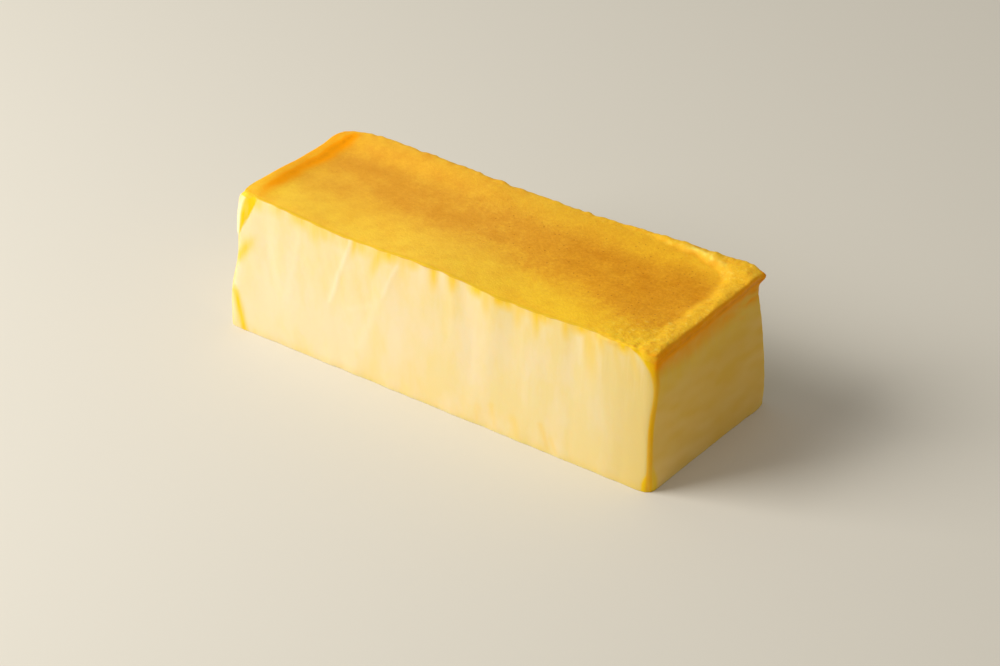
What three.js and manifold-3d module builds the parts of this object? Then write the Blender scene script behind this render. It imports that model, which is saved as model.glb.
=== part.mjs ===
// Cheesecake bar baked in a paper-lined loaf tin and turned out whole: one solid piece of set custard.
// It has slumped a little, so the foot is wider than the top. The browned top sank inside a raised rim,
// each end keeps a baked lip that flares out over a groove, and the paper left folds and creases.

import * as THREE from "three";
import { mergeVertices } from "three/addons/utils/BufferGeometryUtils.js";
import loadManifold from "manifold-3d";

const { clamp, lerp, seededRandom, smoothstep } = THREE.MathUtils;

// Driving dimensions in millimetres. X runs along the bar, Y from the front side to the back, Z up.
const footLength = 182;
const footWidth = 69;
const rimHeight = 52.4;
const topSag = 0.9;
const footRound = 0.6;

// Each side's top edge: how far it stands in from the foot and rises over the rim height, as a pair of
// values for its two corners, the slow wave in its height, and how far in from the edge the rim falls to
// the sunken top. Front and back run from the left end to the right, the ends from front to back.
const sides = {
  front: { lean: [4.3, 1.8], rise: [0.4, 0.1], wave: 0.75, pitch: 76, crest: -5, reach: 22, slope: 20 },
  back: { lean: [5.4, 1.9], rise: [2, 1.75], wave: 0.9, pitch: 135, crest: -60, reach: 8, slope: 7 },
  left: { lean: [4.9, 4], rise: [1.2, 0.8], wave: 0.3, pitch: 40, crest: -10, reach: 6, slope: 4.5 },
  right: { lean: [1.4, 1.8], rise: [0.2, 1.1], wave: 0.3, pitch: 45, crest: 10, reach: 6, slope: 4.5 },
};

// Top corners that slumped below the rim: how far, and how wide.
const dips = {
  frontLeft: { depth: 0.7, reach: 6 },
  frontRight: { depth: 1.6, reach: 4 },
  backRight: { depth: 1.6, reach: 6 },
  backLeft: { depth: 2.6, reach: 7 },
};

// Vertical corners: how far each is rounded at the top, at the waist and at the foot.
const rounds = {
  frontLeft: { top: 2.2, waist: 1.4, foot: 2 },
  frontRight: { top: 2.4, waist: 2, foot: 3.4 },
  backRight: { top: 1.6, waist: 1, foot: 3.4 },
  backLeft: { top: 3, waist: 2.2, foot: 4 },
};
const roundDrop = 10;

// Folds of the paper at the ends of the front side: flat facets that taper to a point below the rim.
const folds = {
  left: { reach: 8.5, drop: 15, depth: 1.8 },
  right: { reach: 7, drop: 10, depth: 1.2 },
};

// Bulges of the left end, close behind its front corner.
const bulges = [
  { height: 43, spread: 9, out: 2.4 },
  { height: 14, spread: 10, out: 2.4 },
];
const bulgeBehind = 4;
const bulgeReach = 7;

// Swell of the right end, as pairs of values for front and back, and the foot of the back side, which
// spread out towards that end.
const endSwell = { height: [40, 24], spread: [10, 18], out: [2.2, 0.5] };
const footSpread = { out: 2.2, reach: 45, from: 4, to: 46 };

// The baked lip at each end and the groove under it, as pairs of values for front and back. The groove's
// middle and spread are shares of its height.
const lips = {
  right: { out: [0.9, 2], groove: [0.3, 0.9], tall: [4, 8] },
  left: { out: [0.7, 0.7], groove: [0.3, 0.3], tall: [4, 4] },
};
const lipDrop = 4.2;
const flareCurve = 1.5;
const grooveMiddle = 0.5;
const grooveSpread = 0.6;
const nub = { out: 0.8, reach: 3 };

// Creases that the paper pressed into the sides, hanging from the top edge.
const creaseCount = { long: 17, end: 5 };
const creaseWidth = [2.6, 6];
const creaseDepth = [0.12, 0.45];
const creaseSlant = 0.25;
const creaseDrop = [18, 70];
const creaseSeed = 11;
const reliefFade = 3;

// Fineness of the surface: cells along, across and up, and how far they crowd to the edges.
const cells = { along: 60, across: 22, up: 16 };
const crowding = { along: 0.4, across: 0.5, up: 0.75 };
const trimBelow = 2;

const bell = (distance, spread) => Math.exp(-((distance / spread) ** 2));
const between = (pair, share) => lerp(pair[0], pair[1], share);
const arch = (share) => 1 - (2 * share - 1) ** 2;
const crowd = (value, amount) => (1 - amount) * value + amount * Math.sin((value * Math.PI) / 2);

function makeCreases(length, count) {
  return Array.from({ length: count }, () => ({
    at: (seededRandom() - 0.5) * length,
    width: between(creaseWidth, seededRandom()),
    depth: between(creaseDepth, seededRandom()) * (seededRandom() < 0.5 ? -1 : 1),
    slant: (seededRandom() - 0.5) * 2 * creaseSlant,
    drop: between(creaseDrop, seededRandom()),
  }));
}

seededRandom(creaseSeed);
const creases = {
  front: makeCreases(footLength, creaseCount.long),
  back: makeCreases(footLength, creaseCount.long),
  left: makeCreases(footWidth, creaseCount.end),
  right: makeCreases(footWidth, creaseCount.end),
};

// How far a side's creases stand out, at a place along it and a distance below its top edge.
function creaseRelief(side, along, below) {
  return creases[side].reduce((sum, crease) => {
    const hang = 1 - smoothstep(below, 0, crease.drop);
    return sum + crease.depth * hang * bell(along - crease.at + crease.slant * below, crease.width);
  }, 0);
}

// How far the front side folds in near an end, at a distance from the corner and below the rim.
function foldRelief(fold, fromCorner, below) {
  const taper = clamp(1 - below / fold.drop, 0, 1);
  const facet = clamp(taper - fromCorner / fold.reach, 0, 1);
  return -fold.depth * facet;
}

// How far an end stands out at its lip, or in at the groove under it.
function lipRelief(lip, across, below) {
  const flare = clamp(1 - below / lipDrop, 0, 1) ** flareCurve;
  const tall = between(lip.tall, across);
  const hollow = bell(below - lipDrop - grooveMiddle * tall, grooveSpread * tall);
  return between(lip.out, across) * flare - between(lip.groove, across) * hollow;
}

// How far the left end bulges out, close behind the front corner.
function bulgeRelief(height, fromFront) {
  const out = bulges.reduce((sum, bulge) => sum + bulge.out * bell(height - bulge.height, bulge.spread), 0);
  return out * bell(fromFront - bulgeBehind, bulgeReach);
}

// How far the right end swells, at a height and a share of the way across.
function swellRelief(height, across) {
  const { height: middle, spread, out } = endSwell;
  return between(out, across) * bell(height - between(middle, across), between(spread, across));
}

// How far the foot of the back side stands out, at a height and a distance from the right end.
function spreadRelief(height, fromRight) {
  const { out, reach, from, to } = footSpread;
  return out * bell(fromRight, reach) * (1 - smoothstep(height, from, to));
}

// How far every wall draws in at the softened bottom edge.
function footInset(height) {
  const drop = clamp(1 - height / footRound, 0, 1);
  return footRound * (1 - Math.sqrt(1 - drop * drop));
}

// How far one side's rim lifts the top, at a share of the way along the side and a distance in from it.
function edgeRise(edge, share, length, distance) {
  const phase = ((share - 0.5) * length - edge.crest) / edge.pitch;
  const ledge = 1 - smoothstep(distance, edge.reach - edge.slope, edge.reach + edge.slope);
  return (between(edge.rise, share) + edge.wave * Math.cos(2 * Math.PI * phase)) * ledge;
}

// Height of the top, from the shares of the way along and across and the distances in from the sides.
function topHeight(along, across, gap) {
  const rim = edgeRise(sides.front, along, footLength, gap.front)
    + edgeRise(sides.back, along, footLength, gap.back)
    + edgeRise(sides.left, across, footWidth, gap.left)
    + edgeRise(sides.right, across, footWidth, gap.right);
  const slump = dips.frontLeft.depth * bell(Math.hypot(gap.front, gap.left), dips.frontLeft.reach)
    + dips.frontRight.depth * bell(Math.hypot(gap.front, gap.right), dips.frontRight.reach)
    + dips.backRight.depth * bell(Math.hypot(gap.back, gap.right), dips.backRight.reach)
    + dips.backLeft.depth * bell(Math.hypot(gap.back, gap.left), dips.backLeft.reach);
  return rimHeight + rim - slump - topSag * arch(along) * arch(across);
}

// Rounds one vertical corner: the square of the given size there becomes a quarter disc.
function roundCorner(point, signX, signY, radius) {
  const dx = point.x * signX - footLength / 2 + radius;
  const dy = point.y * signY - footWidth / 2 + radius;
  if (dx > 0 && dy > 0) {
    const shrink = Math.max(dx, dy) / Math.hypot(dx, dy);
    point.x = signX * (footLength / 2 - radius + dx * shrink);
    point.y = signY * (footWidth / 2 - radius + dy * shrink);
  }
}

// Maps a point of the cube from -1 to 1 onto the bar.
function barPoint(u, v, w) {
  const along = (crowd(u, crowding.along) + 1) / 2;
  const across = (crowd(v, crowding.across) + 1) / 2;
  const rung = (w + 1) / 2;
  const crowdedRung = rung - (crowding.up * Math.sin(2 * Math.PI * rung)) / (2 * Math.PI);
  const up = lerp(-trimBelow / rimHeight, 1, crowdedRung);

  const gap = {
    left: along * footLength,
    right: (1 - along) * footLength,
    front: across * footWidth,
    back: (1 - across) * footWidth,
  };
  const top = topHeight(along, across, gap);
  const point = new THREE.Vector3((along - 0.5) * footLength, (across - 0.5) * footWidth, up * top);
  const below = top - point.z;

  const nearFoot = 1 - smoothstep(point.z, 0, roundDrop);
  const nearRim = 1 - smoothstep(below, 0, roundDrop);
  const radius = ({ top: high, waist, foot }) => waist + (high - waist) * nearRim + (foot - waist) * nearFoot;
  roundCorner(point, -1, -1, radius(rounds.frontLeft));
  roundCorner(point, 1, -1, radius(rounds.frontRight));
  roundCorner(point, 1, 1, radius(rounds.backRight));
  roundCorner(point, -1, 1, radius(rounds.backLeft));

  const inset = footInset(point.z);
  const tip = nub.out * bell(Math.hypot(gap.right, gap.back, below), nub.reach);
  const front = creaseRelief("front", point.x, below) + foldRelief(folds.left, gap.left, below)
    + foldRelief(folds.right, gap.right, below) - inset;
  const back = creaseRelief("back", point.x, below) + spreadRelief(point.z, gap.right) - inset;
  const left = creaseRelief("left", point.y, below) + lipRelief(lips.left, across, below)
    + bulgeRelief(point.z, gap.front) - inset;
  const right = creaseRelief("right", point.y, below) + lipRelief(lips.right, across, below)
    + swellRelief(point.z, across) + tip - inset;

  const fade = (distance) => Math.exp(-distance / reliefFade);
  const leanX = lerp(between(sides.left.lean, across), -between(sides.right.lean, across), along);
  const leanY = lerp(between(sides.front.lean, along), -between(sides.back.lean, along), across);
  point.x += leanX * up + right * fade(gap.right) - left * fade(gap.left);
  point.y += leanY * up + back * fade(gap.back) - front * fade(gap.front);
  return point;
}

function shapedCube() {
  const geometry = new THREE.BoxGeometry(2, 2, 2, cells.along, cells.across, cells.up);
  const position = geometry.attributes.position;
  for (let i = 0; i < position.count; i += 1) {
    const point = barPoint(position.getX(i), position.getY(i), position.getZ(i));
    position.setXYZ(i, point.x, point.y, point.z);
  }
  return geometry;
}

const wasm = await loadManifold();
wasm.setup();

function toSolid(geometry) {
  geometry.deleteAttribute("normal");
  geometry.deleteAttribute("uv");
  const merged = mergeVertices(geometry);
  return new wasm.Manifold(new wasm.Mesh({
    numProp: 3,
    vertProperties: new Float32Array(merged.attributes.position.array),
    triVerts: new Uint32Array(merged.index.array),
  }));
}

function toGeometry(solid) {
  const mesh = solid.getMesh();
  const geometry = new THREE.BufferGeometry();
  geometry.setAttribute("position", new THREE.BufferAttribute(mesh.vertProperties, 3));
  geometry.setIndex(new THREE.BufferAttribute(mesh.triVerts, 1));
  geometry.computeVertexNormals();
  return geometry;
}

// The bar stands flat: all that the shaping left below the foot is cut away. The origin is the middle of
// the box round the bar, at the foot.
function makeBar() {
  const underside = new THREE.BoxGeometry(2 * footLength, 2 * footWidth, rimHeight);
  underside.translate(0, 0, -rimHeight / 2);
  const geometry = toGeometry(toSolid(shapedCube()).subtract(toSolid(underside)));
  geometry.computeBoundingBox();
  const middle = geometry.boundingBox.getCenter(new THREE.Vector3());
  geometry.translate(-middle.x, -middle.y, 0);
  const custard = new THREE.MeshStandardMaterial({ color: 0xf3d27a, roughness: 0.6, metalness: 0 });
  const bar = new THREE.Mesh(geometry, custard);
  bar.name = "cheesecake_bar";
  return bar;
}

const part = new THREE.Group();
part.add(makeBar());

export default part;
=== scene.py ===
import math

import bmesh
import bpy
import numpy as np
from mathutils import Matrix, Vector, kdtree, noise


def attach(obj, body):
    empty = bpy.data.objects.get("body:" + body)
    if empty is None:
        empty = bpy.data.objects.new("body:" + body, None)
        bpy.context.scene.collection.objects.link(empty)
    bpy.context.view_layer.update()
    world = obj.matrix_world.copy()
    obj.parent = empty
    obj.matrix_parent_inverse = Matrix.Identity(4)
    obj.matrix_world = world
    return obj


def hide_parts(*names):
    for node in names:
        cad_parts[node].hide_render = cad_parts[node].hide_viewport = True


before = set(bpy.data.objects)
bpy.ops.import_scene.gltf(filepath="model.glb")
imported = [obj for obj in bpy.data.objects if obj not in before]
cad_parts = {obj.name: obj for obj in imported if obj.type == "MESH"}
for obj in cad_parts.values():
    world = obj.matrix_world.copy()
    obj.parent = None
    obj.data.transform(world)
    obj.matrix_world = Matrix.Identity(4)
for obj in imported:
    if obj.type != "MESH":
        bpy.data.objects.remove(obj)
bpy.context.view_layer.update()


# The bar's body. One piece of baked custard, set in a paper-lined loaf tin and turned out whole.
# Its form is the solid's own, given a closer mesh so that the crinkled skin and the marks of the
# paper can be pressed into it.
mm = 0.001
merge_gap = 0.001 * mm
foot_cut = 0.1 * mm
top_tilt = 0.6
closeness = 2

bar_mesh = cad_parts["cheesecake_bar"].data.copy()
bar_mesh.materials.clear()
bar = bpy.data.objects.new("baked_bar", bar_mesh)
bpy.context.collection.objects.link(bar)
bpy.ops.object.select_all(action="DESELECT")
bar.select_set(True)
bpy.context.view_layer.objects.active = bar

# The copy is merged into a grid of quads, open below, whose lowest ring is drawn down to the foot.
bpy.ops.object.mode_set(mode="EDIT")
bpy.ops.mesh.customdata_custom_splitnormals_clear()
bpy.ops.mesh.select_all(action="SELECT")
bpy.ops.mesh.remove_doubles(threshold=merge_gap)
bpy.ops.mesh.select_all(action="DESELECT")
shape = bmesh.from_edit_mesh(bar_mesh)
for vertex in shape.verts:
    vertex.select_set(vertex.co.z < foot_cut)
shape.select_flush_mode()
bmesh.update_edit_mesh(bar_mesh)
bpy.ops.mesh.delete(type="VERT")
bpy.ops.mesh.select_all(action="SELECT")
bpy.ops.mesh.tris_convert_to_quads(face_threshold=math.pi, shape_threshold=math.pi, topology_influence=1)
bpy.ops.mesh.select_all(action="DESELECT")
bpy.ops.mesh.select_mode(type="EDGE")
bpy.ops.mesh.select_non_manifold()
bpy.ops.mesh.extrude_edges_move()
bpy.ops.transform.resize(value=(1, 1, 0), center_override=(0, 0, 0))
bpy.ops.object.mode_set(mode="OBJECT")

# The browned skin covers the faces that look up: 1 on the top, 0 on the sides, half at the edge between.
skin = bar_mesh.attributes.new("skin", "FLOAT", "POINT")
on_top = np.zeros(len(bar_mesh.vertices))
on_side = np.zeros(len(bar_mesh.vertices))
for face in bar_mesh.polygons:
    kind = on_top if face.normal.z > top_tilt else on_side
    kind[list(face.vertices)] = 1
skin.data.foreach_set("value", on_top / (on_top + on_side))

fine = bar.modifiers.new("closer mesh", "SUBSURF")
fine.levels = closeness
fine.render_levels = closeness
bpy.ops.object.modifier_apply(modifier=fine.name)
bpy.ops.object.shade_smooth()

seed_steps = (17.3, 5.1, 9.7)


def smooth(value, low, high):
    """Rises softly from 0 at low to 1 at high, or falls where low is the larger."""
    share = np.clip((value - low) / (high - low), 0, 1)
    return share * share * (3 - 2 * share)


def bell(distance, spread):
    """1 at no distance, falling away over the spread."""
    return np.exp(-((distance / spread) ** 2))


def mottle(places, size, seed):
    """Soft noise between about -1 and 1. Its blots have one size in millimetres, or one for X, Y and Z."""
    shift = Vector([seed * step for step in seed_steps])
    return np.array([noise.noise(Vector(point) + shift) for point in places / np.asarray(size, float)])


# Where each point lies, in millimetres, and how far it is from the edge of the browned top: inward on the
# top, below it on the sides.
edge_share = 0.5
edge_tolerance = 1e-4
edge_softness = 0.2
back_margin = 1.7

places = np.empty(3 * len(bar_mesh.vertices))
bar_mesh.vertices.foreach_get("co", places)
places = places.reshape(-1, 3) / mm
normals = np.array([vertex.normal for vertex in bar_mesh.vertices])
skin_share = np.empty(len(places))
bar_mesh.attributes["skin"].data.foreach_get("value", skin_share)
on_edge = np.abs(skin_share - edge_share) < edge_tolerance
edge_points = [places[index] for index in np.flatnonzero(on_edge)]
for edge in bar_mesh.edges:
    start, end = edge.vertices
    if on_edge[start] and on_edge[end]:
        edge_points.append((places[start] + places[end]) / 2)
edge_tree = kdtree.KDTree(len(edge_points))
for index, point in enumerate(edge_points):
    edge_tree.insert((point[0], point[1], 0), index)
edge_tree.balance()
rim = np.empty(len(places))
for index, point in enumerate(places):
    _, nearest, distance = edge_tree.find((point[0], point[1], 0))
    rim[index] = distance if skin_share[index] > edge_share else point[2] - edge_points[nearest][2]

along, across, height = places.T
top = smooth(rim, -edge_softness, edge_softness)
below = np.maximum(-rim, 0)
inward = np.maximum(rim, 0)
front = smooth(-normals[:, 1], 0.4, 0.8) * (1 - top)
back = smooth(normals[:, 1], 0.4, 0.8) * (1 - top)
left = smooth(-normals[:, 0], 0.3, 0.8) * (1 - top)
right = smooth(normals[:, 0], 0.3, 0.8) * (1 - top)
from_left = along - along.min()
from_right = along.max() - along
from_front = across - across.min()
from_back = across[skin_share > edge_share].max() + back_margin - across


# The skin of the sides. Where the browned top ran over, it hangs down the sides in yellow drips, with pale
# streaks between them, and it lines the corners where the paper was folded.
# Each drip or streak: its place along the side, half its width, its length, its strength and its lean.
front_drips = [
    (-71, 2.6, 8, 0.5, 0.1), (-62, 3, 9, 0.6, 0.1), (-52, 4, 11, 0.75, 0.15), (-45, 2.4, 8, 0.5, 0.1),
    (-35, 2.6, 10, 0.8, 0.2), (-29, 1.6, 6, 0.5, 0.2), (-23.5, 2.4, 18, 0.75, 0.35),
    (-13, 2.4, 14, 0.5, 0.2), (-0.7, 2.2, 13, 0.95, 0), (7.4, 2.2, 11, 0.9, 0), (16, 1.4, 10, 0.4, 0),
    (22, 2, 14, 0.55, 0), (26.5, 1.6, 10, 0.45, 0), (35, 2, 14, 0.55, 0), (42.5, 1.6, 13, 1, -0.05),
    (54.8, 2, 11, 0.75, 0), (64, 3, 24, 0.65, -0.1), (69, 2, 11, 0.7, -0.1), (74, 1.5, 14, 0.45, -0.25),
    (77.7, 1.2, 4, 1, 0), (81, 1.8, 18, 0.5, -0.3),
]
front_streaks = [
    (-40, 2, 16, 0.4, 0.25), (-31, 1.8, 12, 0.45, 0.25), (-5.8, 1.8, 11, 0.6, 0), (3, 1.6, 10, 0.7, 0),
    (12.4, 1.8, 11, 0.35, 0), (18.5, 1.1, 18, 0.45, 0), (30.5, 2, 12, 0.2, 0), (39, 1.4, 11, 0.6, 0),
    (48.5, 2.3, 14, 0.6, 0), (59.8, 1.6, 20, 0.7, -0.05), (73, 1.8, 10, 0.5, 0), (84, 3, 10, 0.4, 0),
]
# Each pale fold of the front: where it starts and ends, along the bar and above the foot, half its width
# and its strength.
front_folds = [
    ((-37, 51), (-45.7, 24.8), 1, 0.8), ((-16.4, 48.5), (-22, 36), 0.9, 0.7),
    ((-24.5, 32), (-32, 12), 2, 0.4), ((-25.8, 30.4), (-37, 24.8), 1.2, 0.35),
    ((-59.5, 48.5), (-64.5, 20), 1.6, 0.35), ((18, 47), (17, 32), 1.2, 0.3),
]
# Each yellow streak of the front's foot, in the same way.
foot_streaks = [
    ((26, 10), (27.5, 1), 1.2, 0.25), ((35, 8), (36.5, 1), 1.7, 0.25), ((46, 10), (49.5, 1), 1.3, 0.35),
    ((50, 6), (53, 1), 1.4, 0.3), ((20, 7), (19, 1), 1.6, 0.2), ((-9, 12), (-8, 1), 5, 0.2),
]
side_length = 170
end_length = 60
crease_lean = 0.3
line_waver = 0.7


def hang_drips(drips, place_along, side):
    """How strongly the drips mark each point of one side."""
    shade = np.zeros(len(places))
    for at, width, length, strength, lean in drips:
        middle = at - lean * below
        shade = np.maximum(shade, strength * bell(place_along - middle, width) * smooth(below, length, 0))
    return shade * side


def scatter_drips(count, length_of_side, seed):
    """Drips at uneven distances along a side, for the sides that the front doesn't show."""
    draw = np.random.default_rng(seed)
    return [
        (draw.uniform(-0.5, 0.5) * length_of_side, draw.uniform(1.2, 2.8), draw.uniform(5, 18),
         draw.uniform(0.3, 0.8), draw.uniform(-0.15, 0.15))
        for _ in range(count)
    ]


def draw_lines(lines):
    """How strongly wavering lines across the front mark each point of it."""
    shade = np.zeros(len(places))
    for line_start, line_end, half_width, strength in lines:
        way = np.subtract(line_end, line_start)
        share = np.clip((front_spots - line_start) @ way / (way @ way), 0, 1)
        gap = np.linalg.norm(front_spots - line_start - share[:, None] * way, axis=1)
        shade = np.maximum(shade, strength * bell(gap, half_width))
    return shade * front


front_spots = np.stack([along + line_waver * mottle(places, 9, 25), height], axis=1)
long_sides = front + back
sides = long_sides + left + right
upright = places.copy()
upright[:, 0] += crease_lean * height * smooth(along, 10, -30)
waves = mottle(upright, (5.5, 5.5, 40), 8)
ripples = mottle(upright, (2.6, 2.6, 26), 9)
threads = mottle(upright, (1.6, 1.6, 22), 10)
drips = (
    hang_drips(front_drips, along, front)
    + hang_drips(scatter_drips(22, side_length, 3), along, back)
    + 0.5 * hang_drips(scatter_drips(8, end_length, 5), across, left)
    + 0.3 * hang_drips(scatter_drips(8, end_length, 7), across, right)
)
streaks = hang_drips(front_streaks, along, front)
streaks += hang_drips(scatter_drips(18, side_length, 11), along, back)
folds = draw_lines(front_folds)
# Paler on the creases' ridges and yellower in their hollows: partly painted light and shade.
streaks_and_crease_shade = 0.3 * waves + 0.15 * ripples + 0.15 * threads
paler_foot = 0.18 * bell(height - 18, 11) * smooth(along, 30, -10)
pale = np.maximum(streaks, folds) + sides * (smooth(height, 2, 25) * streaks_and_crease_shade + paler_foot)
pale = np.clip(pale, 0, 1)

# The stains along the upper edge of the long sides; along their foot a yellower band of painted shade,
# with yellow streaks in it.
edge_stain = np.clip(0.55 + 1.1 * mottle(places, (6, 6, 30), 2), 0, 1)
edge_stain *= 0.84 + 0.1 * smooth(along, 50, 70)
stain_length = 6 + 2 * smooth(along, 0, -40)
upper_edge = smooth(below, stain_length, 0.3) * long_sides * edge_stain
upper_edge = np.maximum(upper_edge, 0.1 * long_sides * smooth(below, 20, 6))
foot_shade_and_streaks = long_sides * (0.2 * smooth(height, 3.5, 0) + 0.04 * smooth(height, 16, 2))
foot_shade_and_streaks = np.maximum(foot_shade_and_streaks, draw_lines(foot_streaks))

# The folds at the left end of the front: a facet that tapers to a point, a slanting patch and a streak at
# the foot. The lines between them are places along the bar that shift with the height.
flap_top = 52.5
flap_foot = 36
fold_softness = 0.4
near_left = np.clip(front + left * smooth(from_front, 10, 5), 0, 1)
flap_edge = along + 84.5 + 0.16 * (flap_top - height)
facet_edge = along + 79.5 + 0.47 * (flap_top - height)
patch_line = along + 85.5 + 0.69 * (31 - height)
streak_line = along + 87 - 0.33 * (8.5 - height)
left_fold = smooth(flap_edge, -fold_softness, fold_softness)
left_fold *= smooth(facet_edge, fold_softness, -fold_softness)
left_fold *= smooth(height, 35.5, 38) * near_left
flap_face = smooth(flap_edge, fold_softness, -fold_softness) * smooth(height, flap_foot, flap_foot + 1)
flap_face *= near_left
left_patch = 0.75 * bell(patch_line, 2.6) * smooth(height, 42, 32) * smooth(height, 24, 28) * near_left
left_streak = bell(streak_line, 2.1) * smooth(height, 17.5, 14) * near_left

# The corners at the right end: at the front a wedge under the rim, a thin line down the corner and a flare
# at the foot, and a ribbon down the back corner.
wedge_length = 12
wedge_depth = 10.5
wedge_curve = 0.65
wedge = (np.clip(from_right - 0.6, 0, None) / wedge_length) ** wedge_curve
wedge += (below / wedge_depth) ** wedge_curve
right_fold = smooth(wedge, 1.15, 0.98) * front
corner_turn = smooth(np.abs(normals[:, 0]), 0.2, 0.45) * smooth(np.abs(normals[:, 1]), 0.15, 0.4)
corner_turn *= 1 - top
right_corners = corner_turn * smooth(along, 60, 80)
near_corner = right_corners * smooth(across, 0, -20)
back_ribbon = right_corners * smooth(across, 0, 20) * smooth(height, 40, 28)
flare_width = 1.2 + 3.4 * smooth(height, 12, 2)
foot_corner = smooth(flare_width - from_right, -0.4, 0.8) * front
strip_width = 2 + 2.2 * smooth(height, 30, 46) + 2.4 * smooth(height, 12, 3)
end_strip = right * smooth(from_front - strip_width, 1.2, -0.8) * (1 - 0.6 * bell(height - 22, 12))

# All that is yellow on the sides. The pale folds lie over it.
ends_stain = 0.4 * (left + right) * smooth(below, 20, 9) * smooth(below, 3, 8)
left_stain = 0.55 * left * smooth(below, 10, 2)
corners_stain = 0.45 * corner_turn * (1 - flap_face)
yolk = np.maximum.reduce([
    drips, upper_edge, foot_shade_and_streaks, left_fold, left_patch, left_streak, right_fold, foot_corner,
    0.9 * near_corner, 0.9 * back_ribbon, 0.8 * end_strip, ends_stain, left_stain, corners_stain,
])
yolk = np.clip(yolk, 0, 1) * (1 - 0.8 * folds)
pale = np.maximum(pale, flap_face) * (1 - left_fold)

# The right end is barer: level streaks and paler under the lip. It is paler also towards its foot, most at
# the near corner, which is painted light thrown up from the floor.
level_lean = 0.15
level = places.copy()
level[:, 2] += level_lean * across
bare_and_lit = 0.32 + 0.4 * mottle(level, (30, 18, 4), 32) + 0.25 * mottle(level, (12, 7, 2.6), 33)
bare_and_lit += 0.35 * smooth(height, 16, 3) * smooth(from_front, 50, 15)
bare_and_lit += 0.15 * bell(below - 9, 4) * bell(across + 4, 18)
bare_and_lit += 0.14 * smooth(height, 32, 12)
bare_and_lit -= 0.3 * bell(height - 26, 9) * bell(across - 8, 18)
pale = pale * (1 - right) + right * np.clip(bare_and_lit, 0, 1)

# The orange crust: at each end a dark band under the lip that fades down the end, the lip's point, and the
# slope inside the left rim.
lip_waver = mottle(places, (3, 7, 3), 21)
at_end = np.maximum(smooth(from_right, 8, 5), smooth(from_left, 11, 8))
lip_depth = below + 0.6 * lip_waver
lip_reach = 11 + 2.5 * smooth(from_front, 4, 22)
lip_fade = 0.33 * smooth(lip_depth, lip_reach, lip_reach - 6.5) * smooth(lip_depth, -0.8, 0.5)
lip_line = 0.32 * bell(lip_depth - 2.4, 1.9) * (0.6 + 0.4 * smooth(from_front, 2, 12))
lip_ends = at_end * (0.25 * left * smooth(below, 0.5, 3) + right)
lip = lip_ends * (lip_fade + lip_line) * (1 + 0.15 * lip_waver)
lip_edge = 0.5 * bell(rim + 0.6, 1.15) * smooth(from_right, 6, 4) * smooth(from_front, 1, 4) * (1 - front)
lip = np.maximum.reduce([lip, lip_edge, 0.2 * near_corner])

# The crust laid in the dents of the torn skin under the lip is painted shade.
torn_skin = mottle(level, (6, 7, 1.7), 19)
wrinkles = right * bell(across - 23, 8) * bell(below - 9, 4)
lip += 0.5 * wrinkles * np.clip(torn_skin, -0.3, 1)

corner_strip = 0.3 * right * smooth(from_front - strip_width, 1.2, -1) * smooth(height, 30, 46)
knob = bell(np.hypot(from_right - 0.6, from_back - 1.2), 1.9) * smooth(height, 46, 50)
slope_gap = from_left - 10 - 1.2 * smooth(across, -10, -30) + 0.8 * mottle(places, 8, 23)
slope_width = np.where(slope_gap < 0, 2.4, 3.4)
left_slope = top * bell(slope_gap, slope_width) * smooth(across, -38, -14) * smooth(from_back, 3, 10)
left_slope *= 0.6 + 0.08 * smooth(across, -8, 18) + 0.08 * mottle(places, (6, 9, 6), 24)
left_crest = (0.12 + 0.18 * smooth(across, -26, 0)) * top * smooth(from_left, 10, 7)
lip = np.maximum.reduce([lip, corner_strip, knob, left_slope, left_crest, 0.2 * left_fold])
lip = np.clip(lip, 0, 1)


# The browned top. A broad cloudy band behind its middle, strongest at the right, where it comes farther
# forward. The rim that rolled over at the right and along the back stays golden.
# Each darker cloud: its middle along and across the bar, half its length, half its width and its strength.
dark_clouds = [
    (-46, 6, 14, 9, 0.06), (-14, 7, 16, 8, 0.11), (16, 6, 12, 7, 0.03), (62, 8, 11, 8, 0.06),
    (60, -18, 18, 9, 0.04), (36, 11.5, 6, 3, 0.09), (49, 8, 6, 4, 0.1), (71, 2, 5, 3.5, 0.11),
    (71, 19, 5, 3, 0.06),
]
roll_rounding = 5
shadow_at = 8.1

# How far in each point lies from the outer edge of the rolled rim, which turns the far corner in a curve.
near_back = smooth(from_back, 20, 10)
roll_gap = np.logaddexp(-(from_right - 0.5) / roll_rounding, -from_back / roll_rounding)
roll_gap *= -roll_rounding
roll_gap += 1.4 * mottle(places, 11, 18) + 0.8 * mottle(places, 4, 29)
roll_gap += 3 * smooth(along, 80, 36) * near_back
roll = top * np.maximum(smooth(along, 22, 58), 0.6 * smooth(along, -60, -76))
roll *= smooth(roll_gap - 2.5 * bell(along - 72, 9) * near_back, 10.8, 5)
roll = np.maximum(roll, top * smooth(from_left, 13.5, 9.5))
ledge = bell(along - 69, 10) * smooth(from_back, 14, 10)

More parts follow.
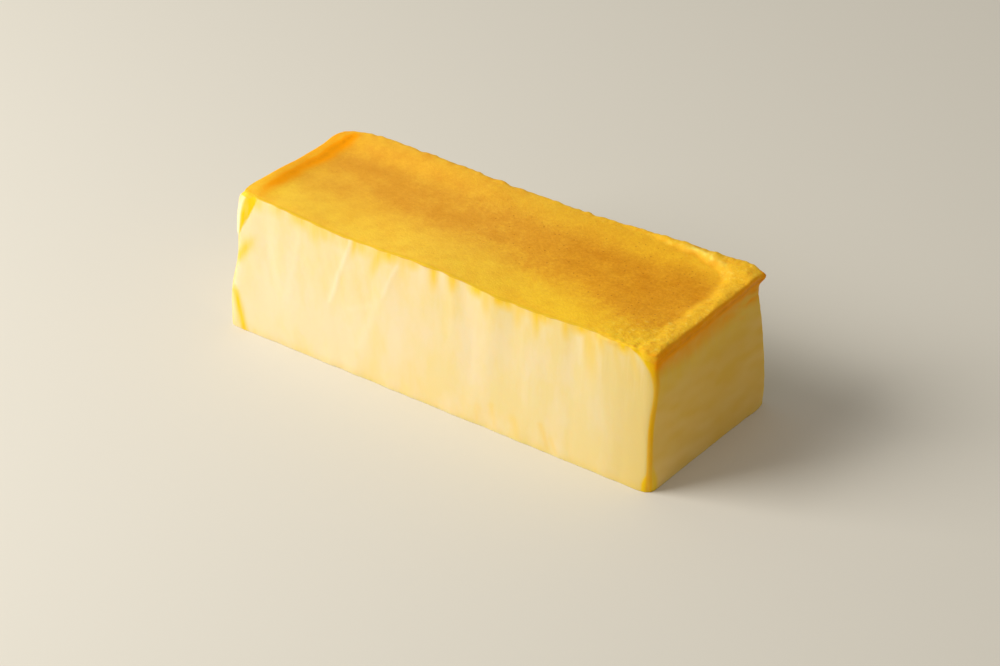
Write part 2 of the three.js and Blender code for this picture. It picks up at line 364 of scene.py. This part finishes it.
to_back = 0.3 + 0.12 * smooth(along, -40, 30)
band = smooth(across + 8 * smooth(along, 45, 75), -24, 2) * (1 - to_back * smooth(across, 10, 26))
band_strength = 0.37 + 0.21 * smooth(along, 0, 50)
clouds = sum(
    strength * bell(along - middle_along, length) * bell(across - middle_across, width)
    for middle_along, middle_across, length, width, strength in dark_clouds
)
smears = 0.1 * mottle(places, (34, 16, 34), 4) + 0.1 * mottle(places, (12, 8, 12), 6)
smears += 0.12 * smooth(along, 10, 50) * mottle(places, (5, 4, 5), 30)
crumbs = bell(rim - 0.5, 2.6) * smooth(along, 58, 74) * smooth(across, -20, -27)
blotches = mottle(places, (3, 4, 3), 26)
browned_and_shadow = 0.06 + band * (band_strength + smears) + clouds + 0.03 * bell(from_left - 14, 4)
browned_and_shadow = browned_and_shadow * (1 - 0.7 * roll) + np.clip(blotches, 0, 1) * (0.5 * roll + 0.25 * crumbs)
# A dark line along the groove inside the ledge's step is painted shade.
browned_and_shadow += 0.4 * ledge * bell(roll_gap - shadow_at, 0.7)
browned_and_shadow = np.clip(browned_and_shadow * top, 0, 1)
deep = np.maximum(smooth(along, -20, 60), 0.4 * bell(from_left - 13, 5))
lip = np.maximum(lip, 0.18 * crumbs * smooth(blotches, 0, 0.6))

# The darker yellow line of the front edge and the darker yellow strip inside the back edge: painted shade.
front_line = smooth(across, -15, -25) * smooth(along, 82, 66)
front_edge_shade = bell(rim + 0.15, 0.8) * front_line
back_strip_shade = (0.15 + 0.25 * smooth(along, -40, 30)) * smooth(across, 11, 27) * smooth(from_left, 8, 16)
back_strip_shade *= top * (1 - roll)


# The relief. Paper and heat left it: upright creases on the sides, a rolled rim with a step inside it,
# crinkled skin at the near corner, and a ragged lip. All of it is less than 2 mm high.
wave_height = 0.09
ripple_height = 0.05
fold_height = 0.15
drip_height = 0.06
crinkle_height = 0.2
fine_crinkle_height = 0.12
roll_height = 0.55
ledge_height = 0.4
bulge_height = 0.5
swell_height = 0.12
pucker_depth = 0.9
lip_crease_height = 0.3
tip_height = 0.5
tip_drop = 0.55
bead_width = 0.35
bead_drop = 0.15
back_corner_height = 0.35
foot_depth = 0.35
flap_height = 0.6
flap_flare = 1.1
crinkled_corner = (86, -30)
step_at = 6.8
groove_at = 8.3
glint_at = 5.9

creases = (wave_height * waves + ripple_height * ripples) * sides * smooth(below, 0.2, 3)
corner_gap = np.hypot(along - crinkled_corner[0], across - crinkled_corner[1])
crinkled = smooth(along, 0, 40) * smooth(roll_gap, 12, 3) + smooth(corner_gap, 28, 8)
crinkled = top * np.clip(crinkled, 0, 1)
crinkles = crinkle_height * (mottle(places, (2.6, 3.6, 3), 12) + mottle(places, 6, 13))
crinkles += fine_crinkle_height * (mottle(places, (1.3, 1.6, 1.3), 34) - blotches)
crinkles *= crinkled

# The rolled rim, with the step and the groove inside it, the moist ledge at the back and the bulge beside
# the lip's point. On the ledge a pale glint is painted into the colour, a painted highlight.
step_length = 1 + 1.5 * smooth(from_back, 9, 17)
step = smooth((roll_gap - step_at) / step_length, 1, -1) * smooth(inward, -3, 2)
step *= 0.85 + 0.4 * smooth(inward, 0, 2.5) * mottle(places, 4, 38)
groove = (0.2 + 0.3 * ledge) * bell(roll_gap - groove_at, 1)
rolled = step * (roll_height + ledge_height * ledge * smooth(inward, 0.5, 3.5))
rolled -= groove * (roll_height + ledge_height * ledge)
rolled *= top * smooth(along, 10, 62)
rolled += bulge_height * top * bell(along - 82.5, 4) * smooth(from_back, 7, 2)
moist_glint = top * bell((roll_gap - glint_at) / step_length, 1.2) * ledge
moist_glint *= np.clip(0.55 + 0.5 * mottle(places, 6, 27) + 0.7 * mottle(places, 2, 28), 0, 1)
swell = swell_height * top * smooth(inward, 0, 5) * mottle(places, 12, 17)

# The ragged upper edges.
front_waver = mottle(places, 4.5, 37)
back_line = smooth(from_back, 8, 4) * smooth(along, 90, 40)
ragged_zone = bell(rim, 2.2) * np.clip(smooth(along, 55, 80) + smooth(from_back, 8, 3) + 0.2, 0, 1)
ragged = ragged_zone * (0.22 * mottle(places, 5, 15) + 0.2 * mottle(places, 2.3, 16))
ragged += 0.3 * crumbs * mottle(places, 1.6, 35)
ragged += bell(rim, 1.8) * (0.4 * back_line * mottle(places, 2.9, 36) + 0.22 * front_line * front_waver)

# The lip with its bead and its point, the torn skin under it, the back corner and the foot.
pucker = -pucker_depth * wrinkles * torn_skin
lip_crease = lip_crease_height * (left + right) * bell(below - 4, 2)
tip = tip_height * knob * (1 - 0.6 * top)
tip_down = tip_drop * smooth(from_right, 6, 2) * smooth(from_back, 8, 3) * smooth(below, 8, 0)
at_lip = smooth(from_right, 6, 3.5) * smooth(from_front, 1, 8) * (1 + 0.3 * lip_waver)
bead_out = bead_width * at_lip * bell(below - 2, 1.5) * smooth(rim, 0.6, -0.8)
bead_down = bead_drop * at_lip * bell(rim, 0.7)
back_corner = back_corner_height * corner_turn * smooth(across, 0, 20) * smooth(below, 2, 6)
back_corner *= (0.3 + 0.7 * smooth(height, 30, 38)) * mottle(places, (6, 6, 2.5), 20)
foot_waver = foot_depth * sides * bell(height, 5) * mottle(places, (7, 7, 30), 31)

# The flap of skin that the folded paper left at the left end of the front.
flap = smooth(height, flap_foot + 0.2, flap_foot + 1.2) * smooth(below, 0.3, 3) * (1 - top)
flap *= smooth(from_front, 10, 6) * smooth(from_left, 9, 6)
flap_out = (flap_height + flap_flare * smooth(height, 38, 49)) * flap

out = (
    creases + fold_height * folds + drip_height * drips + crinkles + rolled + ragged + swell + pucker
    + lip_crease + back_corner + tip
)
moved = places + (out * smooth(height, 0, 1.5))[:, None] * normals
moved[:, :2] += foot_waver[:, None] * normals[:, :2]
moved[:, 0] += bead_out - flap_out
moved[:, 2] -= bead_down + tip_down
bar_mesh.vertices.foreach_set("co", (moved * mm).ravel())
bar_mesh.update()

# The marks stay on the mesh, where the finish reads them.
marks = {
    "yolk": yolk,
    "pale": pale,
    "lip": lip,
    "browned_and_shadow": browned_and_shadow,
    "roll": roll,
    "edge": np.maximum(front_edge_shade, back_strip_shade),
    "moist_glint": moist_glint,
    "crinkled": crinkled,
    "deep": deep,
    "end": right,
    "drape": rim + 2 * at_end + 0.4 * front_line * front_waver,
}
for name, values in marks.items():
    mark = bar_mesh.attributes.new(name, "FLOAT", "POINT")
    mark.data.foreach_set("value", values)

# The flat foot closes the bar below.
bpy.ops.object.mode_set(mode="EDIT")
bpy.ops.mesh.select_mode(type="EDGE")
bpy.ops.mesh.select_all(action="DESELECT")
bpy.ops.mesh.select_non_manifold()
bpy.ops.mesh.edge_face_add()
bpy.ops.mesh.faces_shade_flat()
bpy.ops.object.mode_set(mode="OBJECT")


# The custard's finish. Cream inside its pale skin, with a browned satin top. Light sinks into it and
# comes out yellow.
pale_cream = (0.885, 0.765, 0.50, 1)
cream = (0.865, 0.71, 0.43, 1)
cream_lemon = (0.85, 0.685, 0.315, 1)
cream_shade = (0.77, 0.59, 0.21, 1)
yolk_yellow = (0.90, 0.58, 0.01, 1)
end_shade_yellow = (0.80, 0.493, 0.075, 1)
end_cream = (0.87, 0.60, 0.19, 1)
crust_orange = (0.96, 0.35, 0.0005, 1)
crust_brown = (0.58, 0.18, 0.001, 1)
top_yellow = (0.955, 0.59, 0.05, 1)
shade_yellow = (0.70, 0.44, 0.022, 1)
top_golden = (0.78, 0.365, 0.03, 1)
top_brown = (0.60, 0.225, 0.009, 1)
deep_tint = (1, 0.98, 0.5, 1)
roll_golden = (0.89, 0.495, 0.026, 1)
glint_yellow = (1, 0.84, 0.17, 1)
pore_brown = (0.48, 0.15, 0.003, 1)
golden_at = 0.45
pore_gap = 1.9 * mm
pore_depth = 0.3
pucker_share = 4

custard = bpy.data.materials.new("baked_custard")
custard.use_nodes = True
custard_nodes = custard.node_tree.nodes
custard_links = custard.node_tree.links
custard_shader = custard_nodes["Principled BSDF"]


def wire(kind, inputs, **settings):
    """Adds a node, sets it up, and gives each named input a value or another node's output."""
    node = custard_nodes.new(kind)
    for name, value in settings.items():
        setattr(node, name, value)
    for name, value in inputs.items():
        if isinstance(value, bpy.types.NodeSocket):
            custard_links.new(value, node.inputs[name])
        else:
            node.inputs[name].default_value = value
    return node


def stored(name):
    """One of the marks that the mesh carries."""
    return wire("ShaderNodeAttribute", {}, attribute_name=name).outputs["Fac"]


def blots(size, detail, stretch=(1, 1, 1), roughness=0.5):
    """Noise between 0 and 1, with blots of the given size in metres."""
    where = wire("ShaderNodeMapping", {"Vector": custard_places, "Scale": stretch})
    return wire("ShaderNodeTexNoise", {
        "Vector": where.outputs["Vector"], "Scale": 1 / size, "Detail": detail, "Roughness": roughness,
    }).outputs["Fac"]


def spread(value, low, high, to_low=0, to_high=1, curve="SMOOTHSTEP"):
    """Maps a value from one range to another."""
    return wire("ShaderNodeMapRange", {
        "Value": value, "From Min": low, "From Max": high, "To Min": to_low, "To Max": to_high,
    }, interpolation_type=curve).outputs["Result"]


def plus(first, second):
    """The sum of two values."""
    return wire("ShaderNodeMath", {0: first, 1: second}, operation="ADD").outputs["Value"]


def times(first, second):
    """The product of two values."""
    return wire("ShaderNodeMath", {0: first, 1: second}, operation="MULTIPLY").outputs["Value"]


def blend(share, first, second, blend_type="MIX"):
    """Lays the second colour over the first, by its share."""
    return wire("ShaderNodeMix", {"Factor": share, "A": first, "B": second},
                data_type="RGBA", blend_type=blend_type).outputs["Result"]


custard_places = wire("ShaderNodeTexCoord", {}).outputs["Object"]
place_split = wire("ShaderNodeSeparateXYZ", {"Vector": custard_places})
along_bar = place_split.outputs["X"]
above_foot = place_split.outputs["Z"]
cream_clouds = blots(11 * mm, 4, stretch=(1, 1, 0.5), roughness=0.55)
mottling = blots(6 * mm, 6, roughness=0.62)
grain = blots(0.8 * mm, 4, roughness=0.6)
specks = blots(1.3 * mm, 4, roughness=0.6)
hairs = blots(2 * mm, 3, stretch=(1, 1, 0.1))
puckers = blots(2.4 * mm, 5, roughness=0.65)

# The sides: cream that turns lemon towards the right, painted shade where the window's light falls off,
# and deeper yellow at the far right, painted shade where the corner turns from the light; with pale
# streaks, fine hairs and yolk stains.
to_right = spread(along_bar, -80 * mm, 70 * mm, curve="LINEAR")
side_yellow = plus(to_right, spread(cream_clouds, 0.3, 0.7, -0.6, 0.6))
side_colour = blend(side_yellow, cream, cream_lemon)
side_colour = blend(spread(along_bar, 60 * mm, 92 * mm), side_colour, cream_shade)
hair_zone = times(spread(along_bar, -60 * mm, 0), spread(above_foot, 22 * mm, 44 * mm))
side_pale = plus(stored("pale"), times(spread(hairs, 0.3, 0.7, -0.14, 0.14), hair_zone))
side_colour = blend(side_pale, side_colour, pale_cream)
# The right end's deeper, darker yellow is partly painted shade, its paler foot painted light.
end_colour = blend(stored("pale"), end_shade_yellow, end_cream)
side_colour = blend(stored("end"), side_colour, end_colour)
side_yolk = times(stored("yolk"), spread(hairs, 0.3, 0.7, 0.82, 1.14))
side_colour = blend(side_yolk, side_colour, yolk_yellow)

# The top: yellow, golden or brown by how far it is baked, with a grain and dark pores in the brown.
grain_zone = spread(along_bar, -60 * mm, 30 * mm, 0.45, 1)
grain_zone = times(spread(stored("browned_and_shadow"), 0, 0.6, 0.35, 1), grain_zone)
grainy = times(spread(specks, 0.3, 0.7, -0.13, 0.13), grain_zone)
browning_and_shadow = plus(plus(stored("browned_and_shadow"), spread(mottling, 0.25, 0.75, -0.11, 0.11)), grainy)
top_colour = blend(spread(browning_and_shadow, 0, golden_at, curve="LINEAR"), top_yellow, top_golden)
top_colour = blend(spread(browning_and_shadow, golden_at, 1, curve="LINEAR"), top_colour, top_brown)
top_colour = blend(stored("deep"), top_colour, deep_tint, "MULTIPLY")
pores = wire("ShaderNodeTexVoronoi", {"Vector": custard_places, "Scale": 1 / pore_gap})
pore_here = spread(pores.outputs["Distance"], 0.21, 0.11)
pore_kind = wire("ShaderNodeSeparateColor", {"Color": pores.outputs["Color"]}).outputs["Red"]
pore_zone = spread(along_bar, -40 * mm, 20 * mm, 0.25, 1)
pore_zone = times(spread(stored("browned_and_shadow"), 0.2, 0.45, 0, 0.8), pore_zone)
pore_share = times(times(pore_here, spread(pore_kind, 0.5, 0.55)), pore_zone)
top_colour = blend(pore_share, top_colour, pore_brown)

# The golden rim, the edges darkened with painted shade, the moist ledge with its painted highlight, and
# the flecks of the crinkled skin, painted light and shade.
roll_cover = times(spread(mottling, 0.25, 0.75, 0.5, 1.1), spread(specks, 0.35, 0.65, 0.6, 1.1))
top_colour = blend(times(stored("roll"), roll_cover), top_colour, roll_golden)
top_colour = blend(stored("edge"), top_colour, shade_yellow)
top_colour = blend(spread(stored("moist_glint"), 0, 0.8, 0, 0.75), top_colour, glint_yellow)
# Light flecks on the crinkles' raised bits are painted highlights, dark flecks in their hollows painted
# shade.
painted_fleck_highlights = times(spread(puckers, 0.54, 0.68, 0, 0.36), stored("crinkled"))
painted_fleck_shade = times(spread(puckers, 0.45, 0.32, 0, 0.36), stored("crinkled"))
top_colour = blend(painted_fleck_highlights, top_colour, glint_yellow)
top_colour = blend(painted_fleck_shade, top_colour, top_brown)

# The skin of the top hangs a little over its edge, and the crust lies over both.
skin_here = spread(stored("drape"), -0.55, -0.1)
colour = blend(skin_here, side_colour, top_colour)
crust = times(stored("lip"), spread(mottling, 0.2, 0.8, 0.8, 1.15))
colour = blend(spread(crust, 0, 0.55), colour, crust_orange)
colour = blend(spread(crust, 0.5, 1), colour, crust_brown)
custard_links.new(colour, custard_shader.inputs["Base Color"])

# The gloss and the fine grain. The sides are duller and smoother than the top, and the moist ledge shines.
dullness = plus(spread(mottling, 0.2, 0.8, 0.38, 0.52), spread(skin_here, 0, 1, 0.1, 0))
dullness = plus(dullness, spread(stored("moist_glint"), 0, 1, 0, -0.14))
custard_links.new(dullness, custard_shader.inputs["Roughness"])
grain_share = times(spread(skin_here, 0, 1, 0.12, 1), spread(along_bar, -70 * mm, 20 * mm, 0.45, 1))
grain_height = plus(times(plus(grain, specks), grain_share), times(pore_share, -pore_depth))
grain_height = plus(grain_height, times(puckers, times(stored("crinkled"), pucker_share)))
relief = wire("ShaderNodeBump", {"Height": grain_height, "Strength": 0.4, "Distance": 0.4 * mm})
custard_links.new(relief.outputs["Normal"], custard_shader.inputs["Normal"])
custard_shader.inputs["Specular IOR Level"].default_value = 0.05
custard_shader.inputs["Subsurface Weight"].default_value = 0.45
custard_shader.inputs["Subsurface Radius"].default_value = (1, 0.7, 0.35)
custard_shader.inputs["Subsurface Scale"].default_value = 2 * mm
bar_mesh.materials.append(custard)

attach(bar, "root")
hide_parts("cheesecake_bar")


# The floor. A plain pale matt surface under the bar's foot, wide enough to fill the view and bare all
# round.
floor_width = 6
floor_colour = (0.705, 0.68, 0.61, 1)
bpy.ops.object.select_all(action="DESELECT")
bpy.ops.mesh.primitive_plane_add(size=floor_width, location=(0, 0, 0))
floor = bpy.context.object
floor.name = "floor"
floor_paint = bpy.data.materials.new("pale_floor")
floor_paint.use_nodes = True
floor_shader = floor_paint.node_tree.nodes["Principled BSDF"]
floor_shader.inputs["Base Color"].default_value = floor_colour
floor_shader.inputs["Roughness"].default_value = 0.9
floor_shader.inputs["Specular IOR Level"].default_value = 0.1
floor.data.materials.append(floor_paint)


# The camera. It looks down on the near corner of the bar through a long lens, from a little over a metre
# away.
camera_turn = math.radians(36.76)
camera_rise = math.radians(31.43)
camera_distance = 1.1786
camera_aim = Vector((-9.91 * mm, 17.3 * mm, 0))
camera_lens = 119
camera_sensor = 36


def way_to(turn, rise):
    """The direction at a level turn from the front, and a rise above the floor."""
    return Vector((math.sin(turn) * math.cos(rise), -math.cos(turn) * math.cos(rise), math.sin(rise)))


bpy.ops.object.camera_add(
    location=camera_aim + camera_distance * way_to(camera_turn, camera_rise),
    rotation=(math.pi / 2 - camera_rise, 0, camera_turn),
)
camera = bpy.context.object
camera.data.lens = camera_lens
camera.data.sensor_width = camera_sensor
bpy.context.scene.camera = camera


# The light. A wide soft window to the left of the camera, a little warm, and a weak even light from all
# round.
window_turn = camera_turn - math.radians(84)
window_rise = math.radians(38)
window_distance = 1.25
window_size = 0.8
window_power = 17.2
window_tint = (1, 0.97, 0.92)
surround_tint = (1, 0.95, 0.87, 1)
surround_strength = 0.37

bpy.ops.object.light_add(
    type="AREA",
    location=window_distance * way_to(window_turn, window_rise),
    rotation=(math.pi / 2 - window_rise, 0, window_turn),
)
window = bpy.context.object
window.name = "window"
window.data.size = window_size
window.data.energy = window_power
window.data.color = window_tint

surround = bpy.data.worlds.new("surround")
surround.use_nodes = True
surround_light = surround.node_tree.nodes["Background"]
surround_light.inputs["Color"].default_value = surround_tint
surround_light.inputs["Strength"].default_value = surround_strength
bpy.context.scene.world = surround
bpy.context.scene.view_settings.view_transform = "Standard"
